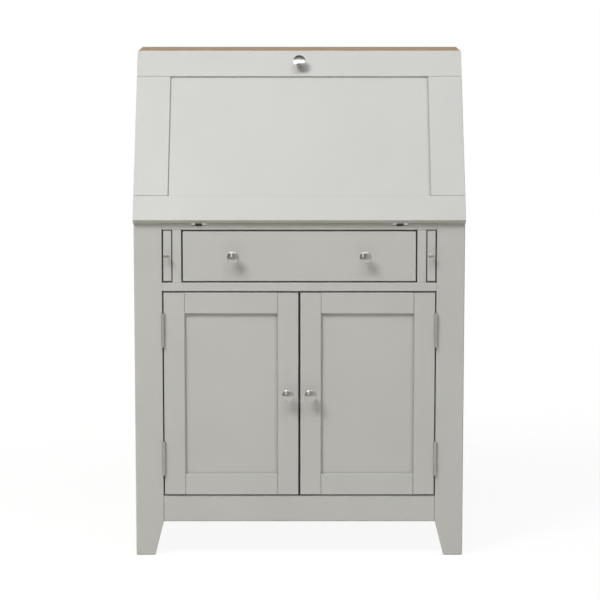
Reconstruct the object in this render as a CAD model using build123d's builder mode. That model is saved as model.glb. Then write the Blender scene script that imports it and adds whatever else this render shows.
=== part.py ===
from build123d import *
import os
from math import atan2, cos, radians, sin, sqrt, tan

os.makedirs("parts", exist_ok=True)

# Driving dimensions, in millimetres and degrees.
# The desk stands on Z = 0, its front looks along -Y, and X = 0 is its middle.

# Case
case_width = 720.0
case_depth = 375.0
desk_height = 1100.0
bed_height = 738.5
ease = 0.8
outer_round = 2.5

# Legs
leg_width = 61.2
leg_depth = 45.0
foot_width = 42.0
foot_depth = 32.0
foot_height = 76.5
foot_edge = 2.0

# Front frame
apron_height = 57.5
apron_thickness = 20.0
mid_rail_height = 18.9
mid_rail_depth = 60.0
drawer_opening = 115.8
divider_thickness = 19.5
loper_slot = 22.8
tenon_length = 25.0
tenon_thickness = 8.0
tenon_shoulder = 9.0
runner_width = 20.0
runner_height = 20.0

# Sides, back, top and shelves
cheek_thickness = 20.0
cheek_rail = 60.0
side_panel_thickness = 8.0
side_panel_recess = 6.0
side_tongue = 8.0
back_thickness = 6.0
back_rabbet = 10.0
top_thickness = 18.0
top_depth = 131.7
bed_thickness = 14.0
floor_thickness = 15.0
shelf_thickness = 15.0
shelf_height = 345.0
shelf_setback = 6.0
shelf_pin_radius = 2.5
shelf_pin_length = 16.0

# Flap
flap_thickness = 15.0
flap_overhang = 1.0
flap_top_rail_width = 66.6
flap_bottom_rail_width = 60.5
flap_stile_width = 75.5
flap_panel_recess = 3.8
flap_tongue = 8.0
flap_tongue_thickness = 6.0
flap_tongue_inset = 4.0
flap_groove_stop = 15.0
flap_nose = 1.2
flap_knob_drop = 39.0

# Doors
door_thickness = 20.0
door_frame_width = 47.0
door_panel_thickness = 8.0
door_panel_recess = 6.0
door_tongue = 8.0
meeting_gap = 2.6

# Drawer
drawer_front_thickness = 20.0
drawer_side_thickness = 12.0
drawer_back_gap = 39.0
drawer_side_drop = 14.0
drawer_back_drop = 3.0
drawer_bottom_thickness = 6.0
drawer_bottom_lift = 9.0
drawer_groove = 6.0
drawer_knob_spacing = 287.0
dovetail_count = 3
dovetail_length = 12.0
dovetail_width = 16.0
dovetail_angle = 10.0

# Lopers
loper_outer_gap = 2.4
loper_inner_gap = 1.5
loper_back_gap = 10.0
loper_stop_length = 44.7
loper_stop_width = 16.0
loper_stop_height = 35.0
guide_height = 40.0
guide_width = 24.0

# Gallery on the writing bed
gallery_setback = 11.2
gallery_board = 12.0
gallery_scoop_share = 0.24
pen_row_height = 72.0
pen_slot_width = 230.0
pigeonhole_count = 4
pen_side_thickness = 8.0
pen_bottom_thickness = 5.0
pen_gap = 1.0
finger_radius = 13.0

# Knobs
knob_head_radius = 13.5
knob_base_radius = 6.2
knob_neck_radius = 4.0
knob_reach = 25.0
small_knob_head_radius = 7.2
small_knob_base_radius = 3.8
small_knob_neck_radius = 2.6
small_knob_reach = 15.0
knob_flange = 0.08
knob_flat = 0.3
knob_stud_radius = 2.0
knob_stud_length = 8.0

# Hinges, catches and screws
leaf_thickness = 1.6
flap_hinge_length = 32.0
flap_hinge_spacing = 437.0
flap_leaf_width = 20.0
flap_knuckle = 15.0
flap_barrel_radius = 3.0
flap_middle_radius = 2.4
door_hinge_length = 76.0
door_hinge_inset = 83.0
door_leaf_width = 17.0
door_barrel_radius = 3.5
door_knuckle_count = 5
pin_radius = 1.5
screw_shank_radius = 1.5
screw_length = 9.0
screw_slot = 0.8
catch_width = 32.0
catch_depth = 18.0
catch_height = 13.0
strike_width = 22.0
strike_height = 14.0
strike_thickness = 1.6

# Clearances
face_gap = 2.2
drawer_gap = 2.6
slide_clearance = 0.3
flap_clearance = 0.5
pin_clearance = 0.05
fit_clearance = 0.1
barrel_clearance = 0.4
knuckle_gap = 0.3

# Places that follow from the sizes
half_width = case_width / 2
front = -(case_depth - knob_reach) / 2
back = front + case_depth
leg_inner = half_width - leg_width
side_inner = half_width - cheek_thickness
legs_front = front + leg_depth
legs_back = back - leg_depth
back_inner = back - back_thickness
bed_underside = bed_height - bed_thickness
drawer_sill = bed_underside - drawer_opening
door_head = drawer_sill - mid_rail_height
door_sill = foot_height + apron_height
top_underside = desk_height - top_thickness
cheek_bottom = bed_height - cheek_rail
divider_outer = leg_inner - loper_slot
divider_inner = divider_outer - divider_thickness
runner_top = drawer_sill + drawer_gap - slide_clearance
runner_front = front + mid_rail_depth

# The flap turns about an axis along X at its inner lower edge
lean = atan2(case_depth + flap_clearance - top_depth, desk_height - bed_height)
flap_axis = (front - flap_clearance, bed_height)
flap_plane = Plane(
    origin=(0, *flap_axis), x_dir=(1, 0, 0), z_dir=(0, -cos(lean), sin(lean))
)
flap_out = Axis(flap_plane.origin, flap_plane.z_dir)
flap_up = Axis(flap_plane.origin, flap_plane.y_dir)
flap_rise = desk_height - bed_height
flap_length = (flap_rise - flap_thickness * sin(lean)) / cos(lean)
flap_half = half_width + flap_overhang
forward = Axis((0, 0, 0), (0, -1, 0))
centred_below = (Align.CENTER, Align.CENTER, Align.MAX)


# Shared helpers
def save(piece, name):
    """Labels one finished piece and writes it."""
    piece.part.label = name
    export_step(piece.part, f"parts/{name}.step")


def save_pair(piece, name):
    """Writes a right-hand piece, and its mirror image as the left-hand one."""
    save(piece, f"right_{name}")
    with BuildPart() as twin:
        mirror(piece.part, about=Plane.YZ)
    save(twin, f"left_{name}")


def block(low, high, mode=Mode.ADD):
    """A box between two corners."""
    size = [b - a for a, b in zip(low, high)]
    with Locations(low):
        Box(*size, align=(Align.MIN, Align.MIN, Align.MIN), mode=mode)


def eased_block(low, high, facing=forward):
    """A box with eased arrises round the face that the axis facing points out of."""
    block(low, high)
    chamfer(faces(Select.LAST).sort_by(facing)[-1].edges(), length=ease)


def rod(plane, centre, length, radius, mode=Mode.ADD):
    """A cylinder that stands on a plane."""
    with BuildSketch(plane) as section:
        with Locations(centre):
            Circle(radius)
    extrude(section.sketch, amount=length, mode=mode)


def profile(plane, points, amount, mode=Mode.ADD):
    """A prism with a straight-sided outline on a plane."""
    with BuildSketch(plane) as outline:
        with BuildLine():
            Polyline(*points, close=True)
        make_face()
    extrude(outline.sketch, amount=amount, mode=mode)


def slope_y(z, behind):
    """Y of the plane that lies behind the closed flap's inner face, at height z."""
    return flap_axis[0] + (z - flap_axis[1]) * tan(lean) + behind / cos(lean)


def screws(seats):
    """Countersunk wood screws, each head flush with its seat plane."""
    with Locations(*seats):
        Cone(screw_shank_radius, screw_shank_radius + leaf_thickness, leaf_thickness, align=centred_below)
        with Locations((0, 0, -leaf_thickness)):
            Cylinder(screw_shank_radius, screw_length, align=centred_below)
        Box(
            2 * (screw_shank_radius + leaf_thickness),
            screw_slot,
            leaf_thickness / 2,
            align=centred_below,
            mode=Mode.SUBTRACT,
        )


def leaf_holes(seats):
    """Countersunk holes through a hinge leaf or a plate of the same thickness."""
    with Locations(*seats):
        Cone(
            screw_shank_radius + pin_clearance,
            screw_shank_radius + leaf_thickness + pin_clearance,
            leaf_thickness,
            align=centred_below,
            mode=Mode.SUBTRACT,
        )


def pilot_holes(seats):
    """Holes in the wood under a hinge leaf."""
    depth = leaf_thickness + screw_length + fit_clearance
    with Locations(*seats):
        Cylinder(
            screw_shank_radius + pin_clearance,
            depth,
            align=centred_below,
            mode=Mode.SUBTRACT,
        )


def knob(seat, head, base, neck, reach):
    """A turned knob with a stud, on a seat plane that faces out of the wood."""
    turning_plane = Plane(seat.origin, x_dir=seat.x_dir, z_dir=-seat.y_dir)
    flange = knob_flange * reach
    waist = 0.45 * reach
    rim_low = 0.83 * reach
    rim_high = 0.92 * reach
    rim = 0.95 * head
    dome_rise = reach - rim_high
    dome_radius = (rim**2 + dome_rise**2) / (2 * dome_rise)
    dome_middle = reach - dome_radius + sqrt(dome_radius**2 - rim**2 / 4)
    dome_top = reach - dome_radius + sqrt(dome_radius**2 - knob_flat**2)
    with BuildSketch(turning_plane) as section:
        with BuildLine():
            Polyline(
                (0, -knob_stud_length),
                (knob_stud_radius, -knob_stud_length),
                (knob_stud_radius, 0),
                (base, 0),
                (base, flange),
            )
            TangentArc((neck, waist), (base, flange), tangent=(0, -1))
            TangentArc((neck, waist), (0.86 * head, rim_low), tangent=(0, 1))
            ThreePointArc((0.86 * head, rim_low), (head, 0.88 * reach), (rim, rim_high))
            ThreePointArc((rim, rim_high), (rim / 2, dome_middle), (knob_flat, dome_top))
            Polyline((knob_flat, dome_top), (0, dome_top), (0, -knob_stud_length))
        make_face()
    revolve(section.sketch, axis=Axis(seat.origin, seat.z_dir))


def large_knob(seat):
    knob(seat, knob_head_radius, knob_base_radius, knob_neck_radius, knob_reach)


def small_knob(seat):
    knob(seat, small_knob_head_radius, small_knob_base_radius, small_knob_neck_radius, small_knob_reach)


def stud_holes(seats):
    """Blind holes for the studs of knobs."""
    with Locations(*seats):
        Cylinder(
            knob_stud_radius + pin_clearance,
            knob_stud_length + fit_clearance,
            align=centred_below,
            mode=Mode.SUBTRACT,
        )


def front_seat(x, y, z):
    """A seat plane that faces the front."""
    return Plane((x, y, z), x_dir=(1, 0, 0), z_dir=(0, -1, 0))


# Hinge places and screw seats
flap_hinge_places = [-flap_hinge_spacing / 2, flap_hinge_spacing / 2]
flap_screw_offsets = [-flap_hinge_length / 3.5, flap_hinge_length / 3.5]
flap_leaf_seats = [
    Plane((x + dx, 0.65 * flap_leaf_width, 0), x_dir=(1, 0, 0), z_dir=(0, 0, -1))
    for x in flap_hinge_places
    for dx in flap_screw_offsets
]
bed_leaf_seats = [
    Plane((x + dx, flap_axis[0] + 0.65 * flap_leaf_width, bed_height))
    for x in flap_hinge_places
    for dx in flap_screw_offsets
]

door_low = door_sill + face_gap
door_high = door_head - face_gap
door_outer = leg_inner - face_gap
door_meeting = meeting_gap / 2
door_back = front + door_thickness
door_axis = (leg_inner - face_gap / 2, front - door_barrel_radius - barrel_clearance)
door_hinge_places = [door_low + door_hinge_inset, door_high - door_hinge_inset]
door_screw_offsets = [-door_hinge_length / 3, 0, door_hinge_length / 3]
door_screw_y = front + 0.55 * door_leaf_width
leg_leaf_seats = [
    Plane((leg_inner, door_screw_y, z + dz), x_dir=(0, 1, 0), z_dir=(-1, 0, 0))
    for z in door_hinge_places
    for dz in door_screw_offsets
]
door_leaf_seats = [
    Plane((door_outer, door_screw_y, z + dz), x_dir=(0, 1, 0), z_dir=(1, 0, 0))
    for z in door_hinge_places
    for dz in door_screw_offsets
]
lock_stile_middle = door_meeting + door_frame_width / 2
strike_middle = door_high - strike_height
strike_seat = Plane(
    (lock_stile_middle, door_back + strike_thickness, strike_middle),
    x_dir=(1, 0, 0),
    z_dir=(0, 1, 0),
)
catch_front = door_back + strike_thickness + slide_clearance
catch_seats = [
    Plane((x, catch_front + 0.6 * catch_depth, door_head - leaf_thickness), x_dir=(1, 0, 0), z_dir=(0, 0, -1))
    for x in (-lock_stile_middle, lock_stile_middle)
]


# Legs
def leg_blank(y_outer, y_inner):
    """A right leg, tapered to its foot on its two inner sides."""
    y_foot = y_outer + (y_inner - y_outer) * foot_depth / leg_depth
    profile(
        Plane.XZ.offset(-min(y_outer, y_inner)),
        [
            (leg_inner, bed_height),
            (half_width, bed_height),
            (half_width, 0),
            (half_width - foot_width, 0),
            (leg_inner, foot_height),
        ],
        -leg_depth,
    )
    profile(
        Plane.YZ.offset(leg_inner),
        [
            (y_outer, 0),
            (y_outer, bed_height),
            (y_inner, bed_height),
            (y_inner, foot_height),
            (y_foot, 0),
        ],
        leg_width,
        Mode.INTERSECT,
    )
    outer = edges().filter_by(Axis.Z).filter_by_position(Axis.X, half_width - 1, half_width + 1)
    fillet(outer.filter_by_position(Axis.Y, y_outer - 1, y_outer + 1), radius=outer_round)
    chamfer(faces().sort_by(Axis.Z)[0].edges(), length=foot_edge)


side_panel_outer = half_width - side_panel_recess
side_panel_inner = side_panel_outer - side_panel_thickness


def side_joints(y_face, y_into):
    """Groove and mortises of a right leg for the side panel, side rail and cheek."""
    tongue_end = y_face + y_into * (side_tongue + fit_clearance)
    block(
        (side_panel_inner - fit_clearance, min(y_face, tongue_end), door_sill - side_tongue - 1),
        (side_panel_outer + fit_clearance, max(y_face, tongue_end), cheek_bottom + side_tongue + 1),
        mode=Mode.SUBTRACT,
    )
    side_tenons(y_face, y_into, fit_clearance, Mode.SUBTRACT)


def side_tenons(y_face, y_into, play, mode):
    """Tenons of the side rail and the cheek at one leg, or their mortises with some play."""
    side_rail_tenon(y_face, y_into, play, mode)
    cheek_tenon(y_face, y_into, play, mode)


def tenon(y_face, y_into, low_z, high_z, play, mode):
    tip = y_face + y_into * (tenon_length + play)
    middle = half_width - cheek_thickness / 2
    block(
        (middle - tenon_thickness / 2 - play, min(y_face, tip), low_z - play),
        (middle + tenon_thickness / 2 + play, max(y_face, tip), high_z + play),
        mode=mode,
    )


def side_rail_tenon(y_face, y_into, play, mode):
    high = door_sill - side_tongue - tenon_shoulder
    tenon(y_face, y_into, foot_height + tenon_shoulder, high, play, mode)


def cheek_tenon(y_face, y_into, play, mode):
    low = cheek_bottom + side_tongue + tenon_shoulder
    tenon(y_face, y_into, low, bed_height - tenon_shoulder, play, mode)


def apron_tenon(play, mode):
    middle = front + apron_thickness / 2
    half = tenon_thickness / 2 + play
    block(
        (leg_inner, middle - half, foot_height + tenon_shoulder - play),
        (leg_inner + tenon_length + play, middle + half, door_sill - tenon_shoulder + play),
        mode=mode,
    )


def mid_rail_tenon(play, mode):
    middle = door_head + mid_rail_height / 2
    half = tenon_thickness / 2 + play
    block(
        (leg_inner, front + tenon_shoulder - play, middle - half),
        (leg_inner + tenon_length + play, legs_front - tenon_shoulder + play, middle + half),
        mode=mode,
    )


shelf_pin_z = shelf_height - shelf_thickness - shelf_pin_radius - pin_clearance
shelf_pin_places = [(legs_front - leg_depth / 4, shelf_pin_z), (legs_back + leg_depth / 4, shelf_pin_z)]


def shelf_pin(place, radius, mode):
    start = leg_inner - shelf_pin_length / 2
    rod(Plane.YZ.offset(start), place, shelf_pin_length, radius, mode)


with BuildPart() as front_leg:
    leg_blank(front, legs_front)
    arris = edges().filter_by(Axis.Z).filter_by_position(Axis.X, leg_inner - 1, leg_inner + 1)
    chamfer(arris.sort_by(Axis.Y)[0], length=ease)
    side_joints(legs_front, -1)
    apron_tenon(fit_clearance, Mode.SUBTRACT)
    mid_rail_tenon(fit_clearance, Mode.SUBTRACT)
    for hinge_z in door_hinge_places:
        reach = door_hinge_length / 2 + fit_clearance
        block(
            (leg_inner, front - 1, hinge_z - reach),
            (leg_inner + leaf_thickness, front + door_leaf_width + fit_clearance, hinge_z + reach),
            mode=Mode.SUBTRACT,
        )
    pilot_holes(leg_leaf_seats)
    shelf_pin(shelf_pin_places[0], shelf_pin_radius + pin_clearance, Mode.SUBTRACT)
save_pair(front_leg, "front_leg")

with BuildPart() as rear_legs:
    leg_blank(back, legs_back)
    side_joints(legs_back, 1)
    block(
        (leg_inner - 1, back_inner, foot_height),
        (leg_inner + back_rabbet, back + 1, bed_height + 1),
        mode=Mode.SUBTRACT,
    )
    shelf_pin(shelf_pin_places[1], shelf_pin_radius + pin_clearance, Mode.SUBTRACT)
    mirror(about=Plane.YZ)
save(rear_legs, "rear_legs")

# Sides
with BuildPart() as cheek:
    profile(
        Plane.YZ.offset(side_inner),
        [
            (legs_front, cheek_bottom),
            (legs_back, cheek_bottom),
            (legs_back, bed_height),
            (back, bed_height),
            (back, top_underside),
            (slope_y(top_underside, flap_clearance), top_underside),
            (slope_y(bed_height, flap_clearance), bed_height),
            (legs_front, bed_height),
        ],
        cheek_thickness,
    )
    chamfer(faces().sort_by(Axis.X)[-1].edges(), length=ease)
    block(
        (side_panel_inner - fit_clearance, legs_front, cheek_bottom - 1),
        (side_panel_outer + fit_clearance, legs_back, cheek_bottom + side_tongue + fit_clearance),
        mode=Mode.SUBTRACT,
    )
    block(
        (side_inner - 1, back_inner, bed_height),
        (side_inner + back_rabbet, back + 1, top_underside + 1),
        mode=Mode.SUBTRACT,
    )
    cheek_tenon(legs_front, -1, 0, Mode.ADD)
    cheek_tenon(legs_back, 1, 0, Mode.ADD)
save_pair(cheek, "cheek")

with BuildPart() as side_rails:
    eased_block(
        (side_inner, legs_front, foot_height), (half_width, legs_back, door_sill), facing=Axis.X
    )
    block(
        (side_panel_inner - fit_clearance, legs_front, door_sill - side_tongue - fit_clearance),
        (side_panel_outer + fit_clearance, legs_back, door_sill + 1),
        mode=Mode.SUBTRACT,
    )
    side_rail_tenon(legs_front, -1, 0, Mode.ADD)
    side_rail_tenon(legs_back, 1, 0, Mode.ADD)
    mirror(about=Plane.YZ)
save(side_rails, "side_rails")

with BuildPart() as side_panels:
    block(
        (side_panel_inner, legs_front - side_tongue, door_sill - side_tongue),
        (side_panel_outer, legs_back + side_tongue, cheek_bottom + side_tongue),
    )
    mirror(about=Plane.YZ)
save(side_panels, "side_panels")

# Front rails
with BuildPart() as apron_rail:
    eased_block((-leg_inner, front, foot_height), (leg_inner, front + apron_thickness, door_sill))
    apron_tenon(0, Mode.ADD)
    mirror(about=Plane.YZ)
save(apron_rail, "apron_rail")

with BuildPart() as mid_rail:
    eased_block((-leg_inner, front, door_head), (leg_inner, front + mid_rail_depth, drawer_sill))
    mid_rail_tenon(0, Mode.ADD)
    mirror(about=Plane.YZ)
    pilot_holes(catch_seats)
save(mid_rail, "mid_rail")


# Boards that reach between the legs
def notched_board(y0, y1, z0, z1, play):
    """A board that fills the case between its sides and is notched round the legs."""
    block((-leg_inner + play, y0, z0), (leg_inner - play, y1, z1))
    block(
        (-side_inner + play, legs_front + play, z0), (side_inner - play, legs_back - play, z1)
    )


with BuildPart() as desk_bed:
    notched_board(front, back_inner, bed_underside, bed_height, 0)
    chamfer(faces().sort_by(Axis.Y)[0].edges(), length=ease)
    for hinge_x in flap_hinge_places:
        reach = flap_hinge_length / 2 + fit_clearance
        block(
            (hinge_x - reach, front - 1, bed_height - leaf_thickness),
            (hinge_x + reach, flap_axis[0] + flap_leaf_width + fit_clearance, bed_height + 1),
            mode=Mode.SUBTRACT,
        )
        block(
            (hinge_x - reach, front - 1, bed_height - flap_barrel_radius - 3 * barrel_clearance),
            (hinge_x + reach, flap_axis[0] + flap_barrel_radius + barrel_clearance, bed_height + 1),
            mode=Mode.SUBTRACT,
        )
        block(
            (hinge_x - flap_knuckle / 2, front - 1, bed_height - 2 * flap_barrel_radius),
            (hinge_x + flap_knuckle / 2, front + 3 * flap_barrel_radius, bed_height - leaf_thickness),
            mode=Mode.SUBTRACT,
        )
    pilot_holes(bed_leaf_seats)
save(desk_bed, "desk_bed")

with BuildPart() as cupboard_floor:
    notched_board(front + apron_thickness, back_inner, door_sill - floor_thickness, door_sill, 0)
save(cupboard_floor, "cupboard_floor")

with BuildPart() as cupboard_shelf:
    notched_board(
        door_back + shelf_setback, back_inner, shelf_height - shelf_thickness, shelf_height, fit_clearance
    )
    chamfer(faces().sort_by(Axis.Y)[0].edges(), length=ease)
save(cupboard_shelf, "cupboard_shelf")

with BuildPart() as shelf_pins:
    for place in shelf_pin_places:
        shelf_pin(place, shelf_pin_radius, Mode.ADD)
    mirror(about=Plane.YZ)
save(shelf_pins, "shelf_pins")

with BuildPart() as oak_top:
    profile(
        Plane.YZ.offset(-half_width),
        [
            (slope_y(top_underside, flap_clearance), top_underside),
            (slope_y(desk_height, flap_clearance), desk_height),
            (back, desk_height),
            (back, top_underside),
        ],
        case_width,
    )
    fillet(faces().sort_by(Axis.Z)[-1].edges(), radius=outer_round)
save(oak_top, "oak_top")

with BuildPart() as lower_back_panel:
    block(
        (-leg_inner - back_rabbet + fit_clearance, back_inner, foot_height),
        (leg_inner + back_rabbet - fit_clearance, back, bed_height),
    )
save(lower_back_panel, "lower_back_panel")

with BuildPart() as upper_back_panel:
    block(
        (-side_inner - back_rabbet + fit_clearance, back_inner, bed_height),
        (side_inner + back_rabbet - fit_clearance, back, top_underside),
    )
save(upper_back_panel, "upper_back_panel")

# Drawer dividers, runners and loper guides
with BuildPart() as drawer_dividers:
    eased_block((divider_inner, front, drawer_sill), (divider_outer, back_inner, bed_underside))
    block((divider_inner, runner_front, door_head), (divider_outer, back_inner, drawer_sill))
    mirror(about=Plane.YZ)
save(drawer_dividers, "drawer_dividers")

drawer_rear = back_inner - drawer_back_gap
with BuildPart() as drawer_runners:
    for low_x, high_x in ((divider_inner - runner_width, divider_inner), (divider_outer, leg_inner)):
        block((low_x, runner_front, runner_top - runner_height), (high_x, back_inner, runner_top))
    block(
        (divider_inner - runner_width, drawer_rear + slide_clearance, runner_top + fit_clearance),
        (divider_inner, back_inner, runner_top + runner_height),
    )
    mirror(about=Plane.YZ)
save(drawer_runners, "drawer_runners")

loper_outer = leg_inner - loper_outer_gap
loper_inner = divider_outer + loper_inner_gap
loper_low = drawer_sill + drawer_gap
loper_high = bed_height - flap_thickness - slide_clearance
loper_middle = (loper_low + loper_high) / 2
guide_face = loper_outer + slide_clearance
guide_low = loper_middle + slide_clearance
loper_rear = legs_back - loper_back_gap

with BuildPart() as loper_guides:
    block(
        (guide_face, legs_front, guide_low), (guide_face + guide_width, legs_back, guide_low + guide_height)
    )
    mirror(about=Plane.YZ)
save(loper_guides, "loper_guides")

loper_seat = front_seat((loper_inner + loper_outer) / 2, front, loper_middle)
with BuildPart() as loper:
    eased_block((loper_inner, front, loper_low), (loper_outer, loper_rear, loper_high))
    block(
        (loper_outer + fit_clearance, loper_rear - loper_stop_length, loper_middle - loper_stop_height),
        (loper_outer + loper_stop_width, loper_rear, loper_middle),
    )
    stud_holes([loper_seat])
save_pair(loper, "loper")

with BuildPart() as loper_knob:
    small_knob(loper_seat)
save_pair(loper_knob, "loper_knob")

# Drawer
drawer_half = divider_inner - drawer_gap
drawer_low = loper_low
drawer_high = bed_underside - drawer_gap
drawer_side_high = drawer_high - drawer_side_drop
drawer_shoulder = front + drawer_front_thickness
drawer_inner = drawer_half - drawer_side_thickness
drawer_bottom_low = drawer_low + drawer_bottom_lift
drawer_bottom_high = drawer_bottom_low + drawer_bottom_thickness
drawer_seats = [
    front_seat(x, front, (drawer_low + drawer_high) / 2)
    for x in (-drawer_knob_spacing / 2, drawer_knob_spacing / 2)
]


def dovetails(mode):
    """The tails of the right drawer side, in the back of the drawer front."""
    pitch = (drawer_side_high - drawer_low) / dovetail_count
    spread = dovetail_length * tan(radians(dovetail_angle))
    for n in range(dovetail_count):
        middle = drawer_low + (n + 0.5) * pitch
        root = dovetail_width / 2
        profile(
            Plane.YZ.offset(drawer_inner),
            [
                (drawer_shoulder, middle - root),
                (drawer_shoulder - dovetail_length, middle - root - spread),
                (drawer_shoulder - dovetail_length, middle + root + spread),
                (drawer_shoulder, middle + root),
            ],
            drawer_side_thickness,
            mode,
        )


def bottom_groove(low_y, high_y, reach):
    """The groove that holds the drawer bottom."""
    block(
        (-reach, low_y, drawer_bottom_low - fit_clearance),
        (reach, high_y, drawer_bottom_high + fit_clearance),
        mode=Mode.SUBTRACT,
    )


with BuildPart() as drawer_front:
    eased_block((-drawer_half, front, drawer_low), (drawer_half, drawer_shoulder, drawer_high))
    dovetails(Mode.SUBTRACT)
    mirror(about=Plane.YZ, mode=Mode.INTERSECT)
    bottom_groove(drawer_shoulder - drawer_groove, drawer_shoulder + 1, drawer_inner)
    stud_holes(drawer_seats)
save(drawer_front, "drawer_front")

with BuildPart() as drawer_sides:
    block((drawer_inner, drawer_shoulder, drawer_low), (drawer_half, drawer_rear, drawer_side_high))
    dovetails(Mode.ADD)
    bottom_groove(drawer_shoulder - dovetail_length - 1, drawer_rear + 1, drawer_inner + drawer_groove)
    mirror(about=Plane.YZ)
save(drawer_sides, "drawer_sides")

with BuildPart() as drawer_back:
    block(
        (-drawer_inner, drawer_rear - drawer_side_thickness, drawer_bottom_high + fit_clearance),
        (drawer_inner, drawer_rear, drawer_side_high - drawer_back_drop),
    )
save(drawer_back, "drawer_back")

with BuildPart() as drawer_bottom:
    reach = drawer_inner + drawer_groove - fit_clearance
    block((-reach, drawer_shoulder, drawer_bottom_low), (reach, drawer_rear, drawer_bottom_high))
    block(
        (-drawer_inner, drawer_shoulder - drawer_groove + fit_clearance, drawer_bottom_low),
        (drawer_inner, drawer_shoulder, drawer_bottom_high),
    )
save(drawer_bottom, "drawer_bottom")

with BuildPart() as drawer_knobs:
    for seat in drawer_seats:
        large_knob(seat)
save(drawer_knobs, "drawer_knobs")

# Flap, drawn on its own plane: x across, y up the slope, z out of its face
flap_opening_low = flap_bottom_rail_width
flap_opening_high = flap_length - flap_top_rail_width
flap_opening_half = flap_half - flap_stile_width
flap_groove_low = flap_tongue_inset - fit_clearance
flap_groove_high = flap_tongue_inset + flap_tongue_thickness + fit_clearance
flap_tongue_high = flap_tongue_inset + flap_tongue_thickness
flap_knob_place = (0, flap_length - flap_knob_drop, flap_thickness)
flap_knob_seat = Plane(
    flap_plane.from_local_coords(flap_knob_place), x_dir=(1, 0, 0), z_dir=flap_plane.z_dir
)


def flap_rail_groove(edge, into):
    """The stopped groove of a flap rail for the stiles' tenons and the panel's tongue."""
    floor = edge + into * (flap_tongue + fit_clearance)
    reach = flap_half - flap_groove_stop + fit_clearance
    block(
        (-reach, min(edge, floor), flap_groove_low),
        (reach, max(edge, floor), flap_groove_high),
        mode=Mode.SUBTRACT,
    )


with BuildPart(flap_plane) as flap_top_rail:
    block((-flap_half, flap_opening_high, 0), (flap_half, flap_length, flap_thickness))
    face_edges = faces().sort_by(flap_out)[-1].edges()
    chamfer(face_edges.filter_by(Axis.X).sort_by(flap_up)[0], length=ease)
    fillet(edges().filter_by(Axis.X).sort_by(Axis.Z)[-1], radius=flap_nose)
    flap_rail_groove(flap_opening_high, 1)
    stud_holes([Plane(flap_knob_place)])
save(flap_top_rail, "flap_top_rail")

with BuildPart(flap_plane) as flap_bottom_rail:
    eased_block((-flap_half, 0, 0), (flap_half, flap_opening_low, flap_thickness), facing=flap_out)
    flap_rail_groove(flap_opening_low, -1)
    for hinge_x in flap_hinge_places:
        reach = flap_hinge_length / 2 + fit_clearance
        block(
            (hinge_x - reach, -1, -1),
            (hinge_x + reach, flap_leaf_width + fit_clearance, leaf_thickness),
            mode=Mode.SUBTRACT,
        )
        rod(
            Plane.YZ.offset(hinge_x - reach),
            flap_axis,
            2 * reach,
            flap_barrel_radius + barrel_clearance,
            Mode.SUBTRACT,
        )
    pilot_holes(flap_leaf_seats)
save(flap_bottom_rail, "flap_bottom_rail")

with BuildPart(flap_plane) as flap_stiles:
    eased_block(
        (flap_opening_half, flap_opening_low, 0),
        (flap_half, flap_opening_high, flap_thickness),
        facing=flap_out,
    )
    block(
        (flap_opening_half, flap_opening_low - flap_tongue, flap_tongue_inset),
        (flap_half - flap_groove_stop, flap_opening_high + flap_tongue, flap_tongue_high),
    )
    block(
        (flap_opening_half - 1, flap_opening_low - flap_tongue - 1, flap_groove_low),
        (
            flap_opening_half + flap_tongue + fit_clearance,
            flap_opening_high + flap_tongue + 1,
            flap_groove_high,
        ),
        mode=Mode.SUBTRACT,
    )
    mirror(about=Plane.YZ)
save(flap_stiles, "flap_stiles")

with BuildPart(flap_plane) as flap_panel:
    block(
        (-flap_opening_half + fit_clearance, flap_opening_low + fit_clearance, 0),
        (
            flap_opening_half - fit_clearance,
            flap_opening_high - fit_clearance,
            flap_thickness - flap_panel_recess,
        ),
    )
    block(
        (-flap_opening_half - flap_tongue, flap_opening_low - flap_tongue, flap_tongue_inset),
        (flap_opening_half + flap_tongue, flap_opening_high + flap_tongue, flap_tongue_high),
    )
save(flap_panel, "flap_panel")

with BuildPart() as flap_knob:
    large_knob(flap_knob_seat)
save(flap_knob, "flap_knob")

# Flap hinges: one knuckle turns with the flap between two that stay with the bed
flap_leaf_root = flap_barrel_radius + barrel_clearance

with BuildPart(flap_plane) as flap_hinge_leaves:
    for hinge_x in flap_hinge_places:
        reach = flap_hinge_length / 2
        block((hinge_x - reach, flap_leaf_root, 0), (hinge_x + reach, flap_leaf_width, leaf_thickness))
        knuckle_low = hinge_x - flap_knuckle / 2
        block((knuckle_low, 0, 0), (knuckle_low + flap_knuckle, flap_leaf_root, leaf_thickness))
        rod(Plane.YZ.offset(knuckle_low), flap_axis, flap_knuckle, flap_middle_radius)
        bore_low = hinge_x - reach
        bore = pin_radius + pin_clearance
        rod(Plane.YZ.offset(bore_low), flap_axis, flap_hinge_length, bore, Mode.SUBTRACT)
    leaf_holes(flap_leaf_seats)
save(flap_hinge_leaves, "flap_hinge_leaves")

with BuildPart() as flap_hinge_bed_leaves:
    for hinge_x in flap_hinge_places:
        reach = flap_hinge_length / 2
        low = bed_height - leaf_thickness
        block(
            (hinge_x - reach, flap_axis[0] + flap_leaf_root, low),
            (hinge_x + reach, flap_axis[0] + flap_leaf_width, bed_height),
        )
        outer_length = reach - flap_knuckle / 2 - knuckle_gap
        for start in (hinge_x - reach, hinge_x + reach - outer_length):
            block(
                (start, flap_axis[0], low),
                (start + outer_length, flap_axis[0] + flap_leaf_root, bed_height),
            )
            rod(Plane.YZ.offset(start), flap_axis, outer_length, flap_barrel_radius)
        bore = pin_radius + pin_clearance
        rod(Plane.YZ.offset(hinge_x - reach), flap_axis, flap_hinge_length, bore, Mode.SUBTRACT)
    leaf_holes(bed_leaf_seats)
save(flap_hinge_bed_leaves, "flap_hinge_bed_leaves")

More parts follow.
